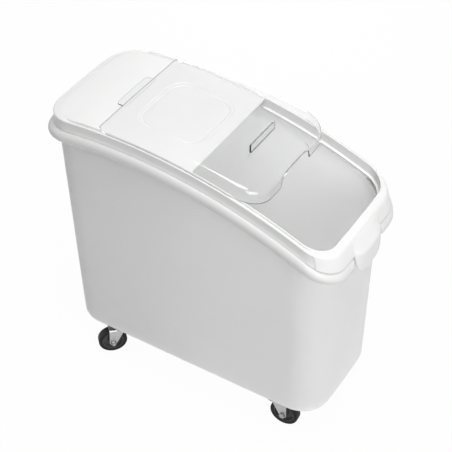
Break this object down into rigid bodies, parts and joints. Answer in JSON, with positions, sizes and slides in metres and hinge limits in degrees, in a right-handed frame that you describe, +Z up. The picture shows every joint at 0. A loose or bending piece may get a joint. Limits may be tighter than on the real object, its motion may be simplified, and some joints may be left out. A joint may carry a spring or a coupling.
{
  "type": "rolling flour bin",
  "caption": "Tapered plastic flour bin on swivel casters, with a top frame clipped over it whose curved rim carries a clear lid that slides back from a low scooping mouth.",
  "frame": {"origin": "on the ground under the middle of the bin", "axes": "+Z up, +Y to the high rear end, -Y to the low scooping front, +X to the right seen from the front's user side facing +Y"},
  "size_m": [0.33, 0.738, 0.7192],
  "materials": {
    "tub_plastic": "satin",
    "frame_plastic": "satin",
    "clear_plastic": "clear",
    "zinc_sheet": "zinc plated",
    "zinc_steel": "zinc plated",
    "plain_steel": "plain",
    "ball_steel": "polished",
    "core_plastic": "matt",
    "tyre_rubber": "matt"
  },
  "bodies": {
    "bin": {"tub": "tub_plastic", "top_frame": "frame_plastic", "front_left_plate": "zinc_sheet", "front_left_screws": "zinc_steel", "front_left_kingpin": "zinc_steel", "front_right_plate": "zinc_sheet", "front_right_screws": "zinc_steel", "front_right_kingpin": "zinc_steel", "rear_left_plate": "zinc_sheet", "rear_left_screws": "zinc_steel", "rear_left_kingpin": "zinc_steel", "rear_right_plate": "zinc_sheet", "rear_right_screws": "zinc_steel", "rear_right_kingpin": "zinc_steel"},
    "lid": {"sliding_lid": "clear_plastic"},
    "front_left_swivel": {"front_left_fork": "zinc_sheet", "front_left_axle": "zinc_steel", "front_left_nut": "zinc_steel", "front_left_bush": "plain_steel", "front_left_balls": "ball_steel"},
    "front_left_wheel": {"front_left_core": "core_plastic", "front_left_tyre": "tyre_rubber"},
    "front_right_swivel": {"front_right_fork": "zinc_sheet", "front_right_axle": "zinc_steel", "front_right_nut": "zinc_steel", "front_right_bush": "plain_steel", "front_right_balls": "ball_steel"},
    "front_right_wheel": {"front_right_core": "core_plastic", "front_right_tyre": "tyre_rubber"},
    "rear_left_swivel": {"rear_left_fork": "zinc_sheet", "rear_left_axle": "zinc_steel", "rear_left_nut": "zinc_steel", "rear_left_bush": "plain_steel", "rear_left_balls": "ball_steel"},
    "rear_left_wheel": {"rear_left_core": "core_plastic", "rear_left_tyre": "tyre_rubber"},
    "rear_right_swivel": {"rear_right_fork": "zinc_sheet", "rear_right_axle": "zinc_steel", "rear_right_nut": "zinc_steel", "rear_right_bush": "plain_steel", "rear_right_balls": "ball_steel"},
    "rear_right_wheel": {"rear_right_core": "core_plastic", "rear_right_tyre": "tyre_rubber"}
  },
  "joints": [
    {"name": "lid_slide", "type": "hinge", "parent": "bin", "child": "lid", "pos_m": [0, 0.176, -0.471], "axis": [1, 0, 0], "range_deg": [-4, 8]},
    {"name": "front_left_swivel_turn", "type": "hinge", "parent": "bin", "child": "front_left_swivel", "pos_m": [-0.104, -0.211, 0.08], "axis": [0, 0, 1], "continuous": true},
    {"name": "front_left_wheel_spin", "type": "hinge", "parent": "front_left_swivel", "child": "front_left_wheel", "pos_m": [-0.10259, -0.23796, 0.035], "axis": [0.9986, 0.0523, 0], "continuous": true},
    {"name": "front_right_swivel_turn", "type": "hinge", "parent": "bin", "child": "front_right_swivel", "pos_m": [0.104, -0.211, 0.08], "axis": [0, 0, 1], "continuous": true},
    {"name": "front_right_wheel_spin", "type": "hinge", "parent": "front_right_swivel", "child": "front_right_wheel", "pos_m": [0.09389, -0.23603, 0.035], "axis": [0.9272, -0.3746, 0], "continuous": true},
    {"name": "rear_left_swivel_turn", "type": "hinge", "parent": "bin", "child": "rear_left_swivel", "pos_m": [-0.104, 0.216, 0.08], "axis": [0, 0, 1], "continuous": true},
    {"name": "rear_left_wheel_spin", "type": "hinge", "parent": "rear_left_swivel", "child": "rear_left_wheel", "pos_m": [-0.12293, 0.23526, 0.035], "axis": [-0.7133, -0.7009, 0], "continuous": true},
    {"name": "rear_right_swivel_turn", "type": "hinge", "parent": "bin", "child": "rear_right_swivel", "pos_m": [0.104, 0.216, 0.08], "axis": [0, 0, 1], "continuous": true},
    {"name": "rear_right_wheel_spin", "type": "hinge", "parent": "rear_right_swivel", "child": "rear_right_wheel", "pos_m": [0.10118, 0.24285, 0.035], "axis": [-0.9945, -0.1045, 0], "continuous": true}
  ]
}
